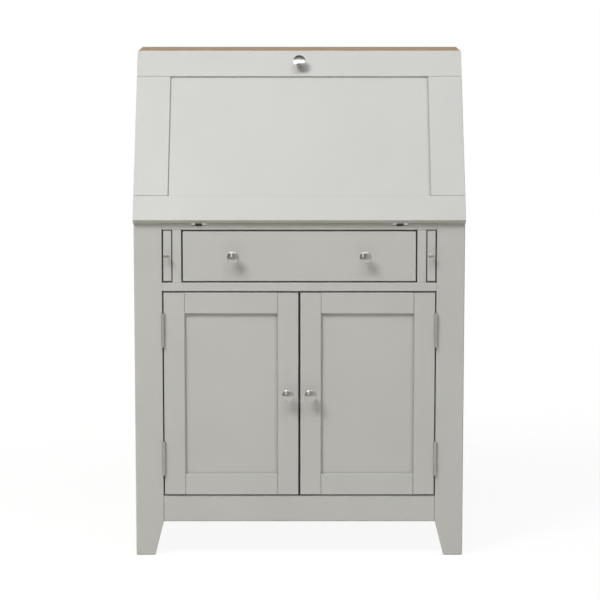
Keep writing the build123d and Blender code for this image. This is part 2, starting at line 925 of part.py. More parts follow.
with BuildPart(flap_plane) as flap_screws:
    screws(flap_leaf_seats)
save(flap_screws, "flap_screws")


# Door hinges: odd knuckles stay with the leg, even ones turn with the door
def door_hinge_leaf(first, low_x, high_x):
    """Two right-hand hinge leaves that have every second knuckle, from the first."""
    pitch = door_hinge_length / door_knuckle_count
    plate_front = front + barrel_clearance
    for hinge_z in door_hinge_places:
        base = hinge_z - door_hinge_length / 2
        block(
            (low_x, plate_front, base), (high_x, front + door_leaf_width, base + door_hinge_length)
        )
        for n in range(first, door_knuckle_count, 2):
            low = base + n * pitch + knuckle_gap / 2
            length = pitch - knuckle_gap
            block((low_x, door_axis[1], low), (high_x, plate_front, low + length))
            rod(Plane.XY.offset(low), door_axis, length, door_barrel_radius)
        bore = pin_radius + pin_clearance
        rod(Plane.XY.offset(base), door_axis, door_hinge_length, bore, Mode.SUBTRACT)


with BuildPart() as door_hinge_leg_leaves:
    door_hinge_leaf(0, leg_inner, leg_inner + leaf_thickness)
    leaf_holes(leg_leaf_seats)
    mirror(about=Plane.YZ)
save(door_hinge_leg_leaves, "door_hinge_leg_leaves")

with BuildPart() as door_hinge_leaves:
    door_hinge_leaf(1, door_outer - leaf_thickness, door_outer)
    leaf_holes(door_leaf_seats)
save_pair(door_hinge_leaves, "door_hinge_leaves")

with BuildPart() as hinge_pins:
    for hinge_z in door_hinge_places:
        base = hinge_z - door_hinge_length / 2 + knuckle_gap / 2
        rod(Plane.XY.offset(base), door_axis, door_hinge_length - knuckle_gap, pin_radius)
    rod(
        Plane.YZ.offset(flap_hinge_places[1] - flap_hinge_length / 2),
        flap_axis,
        flap_hinge_length,
        pin_radius,
    )
    mirror(about=Plane.YZ)
save(hinge_pins, "hinge_pins")

with BuildPart() as case_screws:
    screws(leg_leaf_seats)
    mirror(about=Plane.YZ)
    screws(bed_leaf_seats + catch_seats)
save(case_screws, "case_screws")

# Doors
door_rail_low = door_low + door_frame_width
door_rail_high = door_high - door_frame_width
door_stile_outer = door_outer - door_frame_width
door_stile_inner = door_meeting + door_frame_width
door_groove_front = front + door_panel_recess
door_groove_back = door_groove_front + door_panel_thickness
door_knob_seat = front_seat(lock_stile_middle, front, (door_low + door_high) / 2)

with BuildPart() as door_stiles:
    eased_block((door_stile_outer, front, door_low), (door_outer, door_back, door_high))
    eased_block((door_meeting, front, door_low), (door_stile_inner, door_back, door_high))
    block(
        (
            door_stile_inner - door_tongue - fit_clearance,
            door_groove_front - fit_clearance,
            door_low - 1,
        ),
        (
            door_stile_outer + door_tongue + fit_clearance,
            door_groove_back + fit_clearance,
            door_high + 1,
        ),
        mode=Mode.SUBTRACT,
    )
    for hinge_z in door_hinge_places:
        reach = door_hinge_length / 2 + fit_clearance
        block(
            (door_outer - leaf_thickness, front - 1, hinge_z - reach),
            (door_outer + 1, front + door_leaf_width + fit_clearance, hinge_z + reach),
            mode=Mode.SUBTRACT,
        )
    pilot_holes(door_leaf_seats + [strike_seat])
    stud_holes([door_knob_seat])
save_pair(door_stiles, "door_stiles")

with BuildPart() as door_rails:
    for low, high in ((door_low, door_rail_low), (door_rail_high, door_high)):
        eased_block((door_stile_inner, front, low), (door_stile_outer, door_back, high))
        block(
            (door_stile_inner - door_tongue, door_groove_front, low),
            (door_stile_outer + door_tongue, door_groove_back, high),
        )
    block(
        (
            door_stile_inner - door_tongue - 1,
            door_groove_front - fit_clearance,
            door_rail_low - door_tongue - fit_clearance,
        ),
        (
            door_stile_outer + door_tongue + 1,
            door_groove_back + fit_clearance,
            door_rail_high + door_tongue + fit_clearance,
        ),
        mode=Mode.SUBTRACT,
    )
save_pair(door_rails, "door_rails")

with BuildPart() as door_panel:
    block(
        (door_stile_inner - door_tongue, door_groove_front, door_rail_low - door_tongue),
        (door_stile_outer + door_tongue, door_groove_back, door_rail_high + door_tongue),
    )
save_pair(door_panel, "door_panel")

with BuildPart() as door_knob:
    large_knob(door_knob_seat)
save_pair(door_knob, "door_knob")

with BuildPart() as door_screws:
    screws(door_leaf_seats + [strike_seat])
save_pair(door_screws, "door_screws")

with BuildPart() as door_strike_plate:
    block(
        (lock_stile_middle - strike_width / 2, door_back, strike_middle - strike_height / 2),
        (
            lock_stile_middle + strike_width / 2,
            door_back + strike_thickness,
            strike_middle + strike_height / 2,
        ),
    )
    leaf_holes([strike_seat])
save_pair(door_strike_plate, "door_strike_plate")

with BuildPart() as magnetic_catches:
    for middle in (-lock_stile_middle, lock_stile_middle):
        eased_block(
            (middle - catch_width / 2, catch_front, door_head - catch_height),
            (middle + catch_width / 2, catch_front + catch_depth, door_head),
        )
    with Locations(*catch_seats):
        Cylinder(
            screw_shank_radius + leaf_thickness + fit_clearance,
            catch_height,
            align=(Align.CENTER, Align.CENTER, Align.MIN),
            mode=Mode.SUBTRACT,
        )
    leaf_holes(catch_seats)
save(magnetic_catches, "magnetic_catches")

# Gallery: a shelf over two pen drawers, and pigeonholes above it
gallery_front = slope_y(top_underside, gallery_setback)
gallery_scoop = gallery_scoop_share * (back_inner - gallery_front)
gallery_shelf_low = bed_height + pen_row_height
gallery_shelf_high = gallery_shelf_low + gallery_board

with BuildPart() as gallery_shelf:
    eased_block((-side_inner, gallery_front, gallery_shelf_low), (side_inner, back_inner, gallery_shelf_high))
save(gallery_shelf, "gallery_shelf")

with BuildPart() as gallery_dividers:
    for x in (-pen_slot_width / 2 - gallery_board, pen_slot_width / 2):
        block((x, gallery_front, bed_height), (x + gallery_board, back_inner, gallery_shelf_low))
    for n in range(1, pigeonhole_count):
        x = -side_inner + 2 * side_inner * n / pigeonhole_count - gallery_board / 2
        with BuildSketch(Plane.YZ.offset(x)):
            with BuildLine():
                ThreePointArc(
                    (gallery_front, gallery_shelf_high),
                    (gallery_front + gallery_scoop, (gallery_shelf_high + top_underside) / 2),
                    (gallery_front, top_underside),
                )
                Polyline(
                    (gallery_front, top_underside),
                    (back_inner, top_underside),
                    (back_inner, gallery_shelf_high),
                    (gallery_front, gallery_shelf_high),
                )
            make_face()
        extrude(amount=gallery_board)
save(gallery_dividers, "gallery_dividers")

pen_inner = pen_slot_width / 2 + gallery_board + pen_gap
pen_outer = side_inner - pen_gap
pen_low = bed_height + slide_clearance
pen_high = gallery_shelf_low - pen_gap
pen_rear = back_inner - pen_gap
pen_shoulder = gallery_front + gallery_board
pen_box_high = pen_high - gallery_board
pen_floor_low = pen_low + pen_gap
pen_floor_high = pen_floor_low + pen_bottom_thickness

with BuildPart() as pen_drawer_front:
    eased_block((pen_inner, gallery_front, pen_low), (pen_outer, pen_shoulder, pen_high))
    rod(
        Plane.XZ.offset(-pen_shoulder),
        ((pen_inner + pen_outer) / 2, pen_high),
        gallery_board,
        finger_radius,
        Mode.SUBTRACT,
    )
save_pair(pen_drawer_front, "pen_drawer_front")

with BuildPart() as pen_drawer_box:
    for x in (pen_inner, pen_outer - pen_side_thickness):
        block((x, pen_shoulder, pen_low), (x + pen_side_thickness, pen_rear, pen_box_high))
    low_x = pen_inner + pen_side_thickness + fit_clearance
    high_x = pen_outer - pen_side_thickness - fit_clearance
    block((low_x, pen_shoulder, pen_floor_low), (high_x, pen_rear, pen_floor_high))
    block(
        (low_x, pen_rear - pen_side_thickness, pen_floor_high + fit_clearance),
        (high_x, pen_rear, pen_box_high),
    )
save_pair(pen_drawer_box, "pen_drawer_box")
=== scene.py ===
# %% [markdown]
# # A painted secretary desk
#
# This lesson dresses a small secretary desk: a sloping flap over a writing bed, a drawer between two
# pull-out flap supports, and a cupboard with two framed doors. The joinery already exists as solids, so
# the work here is the finish of each piece, a few small fixings, the light and the camera.
#
# The solids are loaded first and never moved. The box of a piece is read from its vertices where it is
# needed.

# %% Load the joinery
from math import atan2, radians

import bpy
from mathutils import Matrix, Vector


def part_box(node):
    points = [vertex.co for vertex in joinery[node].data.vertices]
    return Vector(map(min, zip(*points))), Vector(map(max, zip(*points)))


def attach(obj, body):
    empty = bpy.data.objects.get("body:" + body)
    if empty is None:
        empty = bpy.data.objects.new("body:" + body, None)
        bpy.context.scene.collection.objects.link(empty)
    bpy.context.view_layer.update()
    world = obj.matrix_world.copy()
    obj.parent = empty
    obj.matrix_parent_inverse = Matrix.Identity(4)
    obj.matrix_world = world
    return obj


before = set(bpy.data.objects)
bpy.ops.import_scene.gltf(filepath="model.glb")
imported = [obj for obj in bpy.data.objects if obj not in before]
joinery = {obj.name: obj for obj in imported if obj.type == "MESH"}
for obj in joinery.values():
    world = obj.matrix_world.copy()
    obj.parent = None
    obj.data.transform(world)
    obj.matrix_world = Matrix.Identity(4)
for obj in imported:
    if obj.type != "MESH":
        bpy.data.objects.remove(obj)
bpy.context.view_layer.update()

# %% [markdown]
# ## Arithmetic on sockets
#
# A finish is a small network of nodes. Wiring each Math node by hand hides the idea behind it, so one
# small class wraps an output socket: adding or multiplying two of them adds the Math node. Every other
# kind of node comes from its add method, which takes the node's type, its settings and what goes into
# its sockets.


# %% A socket that takes part in expressions
class Wire:
    def __init__(self, tree, socket=None):
        self.tree = tree
        self.socket = socket

    def add(self, kind, settings=None, inputs=None, output=0):
        node = self.tree.nodes.new(kind)
        for name, value in (settings or {}).items():
            setattr(node, name, value)
        for key, value in (inputs or {}).items():
            if isinstance(value, Wire):
                self.tree.links.new(value.socket, node.inputs[key])
            else:
                node.inputs[key].default_value = value
        return Wire(self.tree, node.outputs[output] if len(node.outputs) else None)

    def math(self, operation, first, second=0.0):
        return self.add("ShaderNodeMath", {"operation": operation}, {0: first, 1: second})

    def __add__(self, other):
        return self.math("ADD", self, other)

    def __sub__(self, other):
        return self.math("SUBTRACT", self, other)

    def __rsub__(self, other):
        return self.math("SUBTRACT", other, self)

    def __mul__(self, other):
        return self.math("MULTIPLY", self, other)

    def __pow__(self, other):
        return self.math("POWER", self, other)

    __radd__ = __add__
    __rmul__ = __mul__


print("arithmetic on sockets is ready")

# %% [markdown]
# ## Small helpers for finishes
#
# Colours are easiest to name as they look on screen, in steps of 0 to 255, but a shader works in linear
# light, so they are converted. Each finish reads the object's own coordinates. Every piece sits at the
# origin, so these are metres in the desk's frame, and one pattern runs on naturally from piece to piece.


# %% Colours and coordinates
def screen_colour(red, green, blue):
    def linear(step):
        value = step / 255
        return value / 12.92 if value <= 0.04045 else ((value + 0.055) / 1.055) ** 2.4

    return (linear(red), linear(green), linear(blue), 1.0)


def new_finish(name):
    material = bpy.data.materials.new(name)
    material.use_nodes = True
    material.node_tree.nodes.clear()
    return material, Wire(material.node_tree)


def place(wire, scale=(1, 1, 1), turn=(0, 0, 0), shift=(0, 0, 0)):
    coordinates = wire.add("ShaderNodeTexCoord", output="Object")
    moved = {"Vector": coordinates, "Rotation": turn, "Location": shift}
    turned = wire.add("ShaderNodeMapping", {}, moved)
    return wire.add("ShaderNodeMapping", {}, {"Vector": turned, "Scale": scale})


def axes(wire, vector):
    split = wire.add("ShaderNodeSeparateXYZ", {}, {"Vector": vector})
    return [Wire(wire.tree, output) for output in split.socket.node.outputs]


print("colours and coordinates are ready")

# %% [markdown]
# ## Noise, ranges and bumps
#
# Nearly every finish here is made from the same few steps: a noise, a range of it stretched to the values
# that are wanted, two colours blended by that, and a bump. A short function for each keeps the finishes
# readable, where the same networks drawn by hand would fill the screen.


# %% The steps that finishes share
def noise(wire, vector, scale=1.0, detail=2.0, roughness=0.5):
    inputs = {"Vector": vector, "Scale": scale, "Detail": detail, "Roughness": roughness}
    return wire.add("ShaderNodeTexNoise", {}, inputs)


def span(wire, value, low, high, to_low=0.0, to_high=1.0):
    inputs = {"Value": value, "From Min": low, "From Max": high, "To Min": to_low, "To Max": to_high}
    return wire.add("ShaderNodeMapRange", {"clamp": True}, inputs)


def blend_colour(wire, factor, first, second):
    inputs = {0: factor, 6: first, 7: second}
    return wire.add("ShaderNodeMix", {"data_type": "RGBA"}, inputs, output=2)


def bump(wire, height, distance, normal=None):
    inputs = {"Height": height, "Distance": distance}
    if normal:
        inputs["Normal"] = normal
    return wire.add("ShaderNodeBump", {}, inputs)


def close_finish(wire, surface_inputs):
    surface = wire.add("ShaderNodeBsdfPrincipled", {}, surface_inputs)
    wire.add("ShaderNodeOutputMaterial", {}, {"Surface": surface})


print("helpers for finishes are ready")

# %% [markdown]
# ## Worn arrises
#
# Paint and oil are thinnest along an arris, so a hand rubs them there first. Cycles has a Bevel node that
# gives the normal a rounded edge would have. Where it differs from the true normal there is an edge, and
# the difference makes a mask that follows every arris without any painting by hand.


# %% An edge mask and a softened normal
def soft_edges(wire, radius):
    rounded = wire.add("ShaderNodeBevel", {"samples": 4}, {"Radius": radius})
    true_normal = wire.add("ShaderNodeNewGeometry", output="Normal")
    both = {0: rounded, 1: true_normal}
    likeness = wire.add("ShaderNodeVectorMath", {"operation": "DOT_PRODUCT"}, both, output=1)
    return rounded, span(wire, 1 - likeness, 0.02, 0.25)


print("edge mask is ready")

# %% [markdown]
# ## Grain directions
#
# A joiner runs the grain along each piece: up a leg, across a rail, up the slope of a flap stile. The
# patterns below have their grain along X, so a turn of the coordinates brings it to the direction of each
# piece.

# %% Turns that lay the grain along each direction
flap_low, flap_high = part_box("flap_stiles")
slope = atan2(flap_high.z - flap_low.z, flap_high.y - flap_low.y)
grain_turns = {
    "across": (0.0, 0.0, 0.0),
    "deep": (0.0, 0.0, radians(90)),
    "upright": (0.0, radians(90), 0.0),
    "sloping": (-slope, 0.0, radians(90)),
}
print("the flap climbs at", round(slope, 3), "radians")

# %% [markdown]
# ## Satin paint
#
# The desk is sprayed in a warm light grey. Sprayed paint is almost even, so the finish lives on small
# things: a cloudy shift of tone under one percent, a sheen that is not the same everywhere, the skin of
# fine dimples that a spray gun leaves, and the grain of the wood that still shows faintly through. The
# arrises are rubbed a little paler, by the edge mask and a noise, so that no edge is even.
#
# Where a stile meets a rail, the joint shows as a fine dark seam. It is thinner than a groove could well be
# cut, so the edge mask of the piece is filled with a dark colour there, but not along the outer edge of the
# frame. Along a stile's inner edge, beside the sunk panel, the same dark line is painted shade.

# %% The coat of paint
paint_pale = screen_colour(198, 197, 190)
paint_deep = screen_colour(194, 193, 186)
undercoat = screen_colour(214, 212, 205)
# The dark of the joints, and of the painted shade beside the gaps and in the panel corners.
joint_and_shade_dark = screen_colour(44, 42, 38)
arris_reach = 0.0012
clean_rim = 0.002


# Dark joints where rails meet a stile, and painted shade along a stile's inner edge beside the panel.
def seam_and_shade_line(wire, rub, outer_edge, seam_reach):
    from_middle = wire.math("ABSOLUTE", axes(wire, place(wire))[0])
    inside = span(wire, from_middle, outer_edge - 2 * clean_rim, outer_edge - clean_rim, 1.0, 0.0)
    seam = soft_edges(wire, seam_reach)[1]
    return seam * inside * span(wire, rub, 0.2, 0.5, 0.4, 0.95)


def paint_layer(wire, turn, seams=None):
    cloud = noise(wire, place(wire), scale=5.0, detail=3.0)
    tone = blend_colour(wire, span(wire, cloud, 0.3, 0.7), paint_deep, paint_pale)
    rounded, edge = soft_edges(wire, arris_reach)
    rub = noise(wire, place(wire, shift=(3, 1, 2)), scale=45.0, detail=3.0)
    if seams:
        tone = blend_colour(wire, seam_and_shade_line(wire, rub, *seams), tone, joint_and_shade_dark)
    else:
        tone = blend_colour(wire, edge * span(wire, rub, 0.45, 0.75, 0.0, 0.5), tone, undercoat)
    grain = noise(wire, place(wire, scale=(9, 260, 260), turn=turn), detail=4.0, roughness=0.6)
    dimples = noise(wire, place(wire), scale=700.0, detail=1.0)
    sheen = noise(wire, place(wire, shift=(1, 5, 2)), scale=22.0, detail=4.0)
    roughness = span(wire, sheen, 0.3, 0.7, 0.435, 0.485) - 0.06 * edge
    skin = bump(wire, dimples, 0.00003, bump(wire, grain, 0.00006, rounded))
    return tone, roughness, skin


print("the paint is between", paint_deep[:3], "and", paint_pale[:3])

# %% [markdown]
# ## Painted shade beside the gaps
#
# The gaps around the doors, the drawer and the flap supports are real gaps between the solids. A dark
# line of painted shade sits on the arrises beside them, and makes each gap read as a crisp dark line. The
# line is where the distance to the edge of the piece's own box is small, so it stays on that piece when it
# moves.

# %% A dark line along the edges of a front
gap_shade_width = 0.0007
hidden_below = 0.0004
front_skin, front_fade = 0.0012, 0.0004


# Painted shade: a dark line on a front's arrises beside its gaps, standing for the shade inside them.
def painted_gap_shade(wire, tone, box):
    low, high = box
    x, y, z = axes(wire, place(wire))
    from_middle = wire.math("ABSOLUTE", x)
    inner_edge = low.x if low.x > 0 else -1.0
    to_side = wire.math("MINIMUM", from_middle - inner_edge, high.x - from_middle)
    to_rim = wire.math("MINIMUM", z - (low.z + hidden_below), high.z - z)
    to_edge = wire.math("MINIMUM", to_side, to_rim)
    line = span(wire, to_edge, gap_shade_width, 1.3 * gap_shade_width, 0.9, 0.0)
    skin_ends = low.y + front_skin
    front_only = span(wire, y, skin_ends, skin_ends + front_fade, 1.0, 0.0)
    return blend_colour(wire, line * front_only, tone, joint_and_shade_dark)


print("gap lines are", round(gap_shade_width * 1000, 2), "mm wide")

# %% [markdown]
# ## Painted shade in the corners of the panels
#
# Where a sunk panel meets its frame, a soft shade is painted into the corner. The Ambient Occlusion node
# tells how open the air is around each point. It could shade all four corners alike, but two of them
# already lie in the shadow of the frame, so its normal leans towards the other two.

# %% A soft shade in the corners
corner_shade_reach = 0.010


# Painted shade: a panel's corners get darker where the air around them is closed in.
def painted_corner_shade(wire, tone, lean, depth):
    normal = wire.add("ShaderNodeNewGeometry", output="Normal")
    leaning = wire.add("ShaderNodeVectorMath", {"operation": "ADD"}, {0: normal, 1: lean})
    leaning = wire.add("ShaderNodeVectorMath", {"operation": "NORMALIZE"}, {0: leaning})
    around = {"Distance": corner_shade_reach, "Normal": leaning}
    open_air = wire.add("ShaderNodeAmbientOcclusion", {"samples": 8}, around, output=1)
    return blend_colour(wire, span(wire, open_air, 0.35, 0.85, depth, 0.0), tone, joint_and_shade_dark)


print("dust reaches", round(corner_shade_reach * 1000, 1), "mm from a corner")

# %% [markdown]
# ## The paints of the desk
#
# It is all one paint, but each piece of the frames wants its own network: the grain runs another way, and
# the seams, the painted shade beside the gaps and the painted shade in the corners lie in other places.
# One function makes them all, so the coat stays the same from piece to piece.


# %% Mix the paints
def paint(name, turn, gap_box=None, seams=None, corner_shade=None):
    material, wire = new_finish(name)
    tone, roughness, skin = paint_layer(wire, turn, seams)
    # painted shade beside the gaps
    if gap_box:
        tone = painted_gap_shade(wire, tone, gap_box)
    # painted shade in the corners of a sunk panel
    if corner_shade:
        tone = painted_corner_shade(wire, tone, *corner_shade)
    satin = {"Base Color": tone, "Roughness": roughness, "Normal": skin, "Specular IOR Level": 0.4}
    close_finish(wire, satin)
    return material


upright, across, sloping = (grain_turns[name] for name in ("upright", "across", "sloping"))
paints = {name: paint(f"paint_{name}", grain_turns[name]) for name in ("across", "deep", "upright")}
wide_seam, fine_seam = 0.0042, 0.0027
past_the_ends = 1.0
# Painted shade for the panel corners: the lean of the normal, and how dark it gets.
door_corner_shade = ((0.7, 0.0, -0.5), 0.26)
flap_corner_shade = ((0.7, 0.0, 0.4), 0.32)
door_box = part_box("right_door_stiles")
door_stile_paint = paint("door_stile_paint", upright, door_box, (door_box[1].x, wide_seam))
door_rail_paint = paint("door_rail_paint", across, door_box)
flap_stile_paint = paint("flap_stile_paint", sloping, None, (flap_high.x, fine_seam))
door_panel_paint = paint("door_panel_paint", upright, corner_shade=door_corner_shade)
flap_panel_paint = paint("flap_panel_paint", across, corner_shade=flap_corner_shade)
apron_seams = (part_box("apron_rail")[1].x + past_the_ends, wide_seam)
apron_paint = paint("apron_paint", across, None, apron_seams)
print("plain paints:", sorted(paints), "and six for the frames, panels and apron")

# %% [markdown]
# ## Timber
#
# Oak, and the pale wood of the drawer boxes, come from the same idea. A tree is a stack of cones, so the
# rings are distances from an axis that lies a little outside the board and is not quite parallel to it.
# Noise makes the rings wander. Long thin pores are a second noise, stretched along the grain. As the
# pattern is solid, the ends of the boards show end grain by themselves.


# %% The pattern of wood
def timber_layer(wire, turn, colours, ring_count, pore_depth, heart, wildness=0.012):
    early, late, pore_colour = colours
    wander = noise(wire, place(wire, scale=(1.3, 7, 7), turn=turn), detail=3.0)
    along, side, up = axes(wire, place(wire, turn=turn, shift=heart))
    side = side + wildness * wander + 0.012 * along
    up = up + 0.016 * along
    radius = (side * side + up * up) ** 0.5
    growth = wire.math("FRACT", radius * ring_count)
    ring = growth**2.2 * span(wire, growth, 0.88, 1.0, 1.0, 0.0)
    fibre = noise(wire, place(wire, scale=(14, 500, 500), turn=turn), detail=3.0)
    pores = noise(wire, place(wire, scale=(30, 1100, 1100), turn=turn), detail=2.0)
    pores = span(wire, pores + 0.12 * ring, 0.60, 0.72)
    cloud = noise(wire, place(wire, scale=(2, 9, 9), turn=turn), detail=3.0)
    lateness = 0.75 * ring + 0.5 * (fibre - 0.5) + 0.35 * (cloud - 0.5)
    colour = blend_colour(wire, lateness, early, late)
    colour = blend_colour(wire, pores * pore_depth, colour, pore_colour)
    rounded, edge = soft_edges(wire, 0.0010)
    roughness = 0.42 + 0.18 * fibre + 0.12 * pores - 0.05 * edge
    relief = bump(wire, fibre - 0.8 * pores, 0.00012, rounded)
    return colour, roughness, relief


print("the pattern of wood is ready")

# %% [markdown]
# ## Oak, pale wood and ply
#
# The top and the gallery are oiled oak with fine rings and dark pores. The drawer boxes are a pale wood with
# wider rings. The back panels are thin ply, whose face is peeled from the log, so its rings are wide and
# wander far.

# %% Kinds of wood
oak_colours = (screen_colour(166, 139, 107), screen_colour(137, 106, 73), screen_colour(92, 67, 43))
pale_colours = (screen_colour(219, 194, 154), screen_colour(194, 160, 114), screen_colour(160, 122, 80))
near_heart, far_heart = (0.0, 0.09, 0.16), (0.0, 0.3, 0.2)
oak = (oak_colours, 230.0, 0.7, near_heart)
pale_wood = (pale_colours, 110.0, 0.3, near_heart)
ply = (pale_colours, 70.0, 0.35, far_heart, 0.06)


def timber(name, direction, kind):
    material, wire = new_finish(name)
    colour, roughness, relief = timber_layer(wire, grain_turns[direction], *kind)
    oiled = {"Base Color": colour, "Roughness": roughness, "Normal": relief, "Specular IOR Level": 0.2}
    close_finish(wire, oiled)
    return material


timbers = {
    "oak_across": timber("oak_across", "across", oak),
    "oak_upright": timber("oak_upright", "upright", oak),
    "pale_across": timber("pale_across", "across", pale_wood),
    "pale_deep": timber("pale_deep", "deep", pale_wood),
    "ply_upright": timber("ply_upright", "upright", ply),
}
print("timber finishes:", sorted(timbers))

# %% [markdown]
# ## Painted fronts on bare pieces
#
# The drawer front, the flap supports and the dividers are painted only where they show. Behind that they
# are bare wood, as in any bought desk. The two layers are mixed by depth: a smooth step on Y, which points
# away from the front, with a noise on it so that the paint ends in a slightly uneven line.


# %% Paint that ends behind the front
def painted_front(name, direction, wood_direction, paint_ends, gap_box=None):
    material, wire = new_finish(name)
    tone, roughness, skin = paint_layer(wire, grain_turns[direction])
    # painted shade beside the gaps of the drawer front and the flap supports
    if gap_box:
        tone = painted_gap_shade(wire, tone, gap_box)
    wood, wood_roughness = timber_layer(wire, grain_turns[wood_direction], *pale_wood)[:2]
    depth = axes(wire, place(wire))[1]
    ragged = noise(wire, place(wire, shift=(2, 7, 1)), scale=90.0, detail=2.0)
    bare = span(wire, depth + 0.002 * ragged, paint_ends, paint_ends + 0.0008)
    inputs = {
        "Base Color": blend_colour(wire, bare, tone, wood),
        "Roughness": roughness * (1 - bare) + wood_roughness * bare,
        "Normal": skin,
        "Specular IOR Level": 0.4,
    }
    close_finish(wire, inputs)
    return material


front_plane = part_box("drawer_front")[0].y
drawer_ends = front_plane + 0.0185
slot_ends = front_plane + 0.05
drawer_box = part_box("drawer_front")
painted_drawer_front = painted_front("painted_drawer_front", "across", "across", drawer_ends, drawer_box)
loper_low, loper_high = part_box("right_loper")
loper_high.x = sum(corner.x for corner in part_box("right_loper_knob")) - loper_low.x
painted_loper = painted_front("painted_loper", "deep", "deep", slot_ends, (loper_low, loper_high))
painted_divider = painted_front("painted_divider", "upright", "deep", slot_ends)
print("fronts are painted from", round(front_plane, 4), "m")

# %% [markdown]
# ## Polished nickel
#
# The knobs are plated with nickel and polished on a wheel: nearly a mirror, with faint hairlines and a
# breath of dullness where hands touch. A perfect mirror looks false, so a noise varies both the tone and
# the roughness.


# %% Nickel for the knobs
def polished_nickel():
    material, wire = new_finish("polished_nickel")
    smear = noise(wire, place(wire), scale=60.0, detail=4.0)
    hairline = noise(wire, place(wire, scale=(90, 90, 2600)), detail=2.0)
    colour = blend_colour(wire, smear, screen_colour(172, 171, 164), screen_colour(186, 185, 179))
    roughness = span(wire, smear, 0.3, 0.7, 0.12, 0.24) + 0.05 * span(wire, hairline, 0.6, 0.75)
    relief = bump(wire, hairline, 0.000004)
    polish = {"Base Color": colour, "Metallic": 1.0, "Roughness": roughness, "Normal": relief}
    close_finish(wire, polish)
    return material


nickel = polished_nickel()
print("nickel is polished")

# %% [markdown]
# ## Brushed steel
#
# Hinges and screws are brushed steel, so their streaks run along one direction. The door hinges, screws
# and brads are a darker steel; on the door hinges the darker tone also stands for the shade in the seams
# beside their barrels. The flap's hinges are a lighter copy, painted light for knuckles that sit in the
# shade of the flap. Below the pins of the flap's leaves a dark matt film is painted shade around the middle
# knuckle: it is a mask of the distance from the line of the pins, and only below that line.

# %% Steel for hinges and screws
flap_pin = (0.0, front_plane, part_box("desk_bed")[1].z)
pin_shade_black = screen_colour(20, 19, 18)


# Painted shade: a dark matt film below the line of the flap's pins, around the middle knuckle.
def painted_pin_shade(wire, stain, reach):
    from_pin = wire.add("ShaderNodeVectorMath", {"operation": "SUBTRACT"}, {0: place(wire), 1: flap_pin})
    behind, above = axes(wire, from_pin)[1:]
    from_axis = (behind * behind + above * above) ** 0.5 + 0.0004 * stain
    below = span(wire, above, 0.0, 0.0008, 1.0, 0.0)
    return below * span(wire, from_axis, reach, 1.4 * reach, 1.0, 0.0)


def brushed_steel(name, colours, pin_shade_reach=0.0):
    material, wire = new_finish(name)
    streak = noise(wire, place(wire, scale=(2400, 2400, 40)), detail=3.0)
    stain = noise(wire, place(wire), scale=80.0, detail=4.0)
    rounded, edge = soft_edges(wire, 0.0004)
    colour = blend_colour(wire, stain, *colours)
    roughness = span(wire, streak, 0.3, 0.7, 0.38, 0.52) - 0.08 * edge
    metallic = 1.0
    if pin_shade_reach:
        pin_shade = painted_pin_shade(wire, stain, pin_shade_reach)
        colour = blend_colour(wire, pin_shade, colour, pin_shade_black)
        roughness = roughness + 0.4 * pin_shade
        metallic = 1 - pin_shade
    relief = bump(wire, streak, 0.00001, rounded)
    brushed = {"Base Color": colour, "Metallic": metallic, "Roughness": roughness, "Normal": relief}
    close_finish(wire, brushed)
    return material


# Darker steel, also standing for shade beside the door hinges' barrels, and a lighter copy painted light.
darker_steel_colours = (screen_colour(160, 157, 150), screen_colour(182, 180, 174))
bright_steel_colours = (screen_colour(208, 206, 201), screen_colour(230, 229, 225))
steel = brushed_steel("brushed_steel", darker_steel_colours)
bright_steel = brushed_steel("bright_steel", bright_steel_colours)
pin_shaded_steel = brushed_steel("pin_shaded_steel", bright_steel_colours, 0.0034)
print("the flap's pins lie at", tuple(round(v, 4) for v in flap_pin))

# %% [markdown]
# ## Moulded plastic
#
# The magnetic catches in the cupboard are moulded plastic. A mould leaves a fine even grain, which a noise
# of a very small scale gives to both the roughness and the bump.


# %% Plastic for the catches
def moulded_plastic():
    material, wire = new_finish("moulded_plastic")
    grit = noise(wire, place(wire), scale=1500.0, detail=1.0)
    cloud = noise(wire, place(wire), scale=30.0, detail=3.0)
    rounded, edge = soft_edges(wire, 0.0006)
    colour = blend_colour(wire, cloud, screen_colour(198, 196, 190), screen_colour(210, 208, 203))
    roughness = span(wire, grit, 0.3, 0.7, 0.48, 0.62) - 0.1 * edge
    skin = bump(wire, grit, 0.00002, rounded)
    close_finish(wire, {"Base Color": colour, "Roughness": roughness, "Normal": skin})
    return material


plastic = moulded_plastic()
print("plastic is moulded")

# %% [markdown]
# ## Dress the joinery
#
# Each piece gets its finish by assigning to its material slots. The lists follow the way that the desk is
# built: what stands upright, what runs across, what runs from front to back, and what follows the slope of
# the flap.

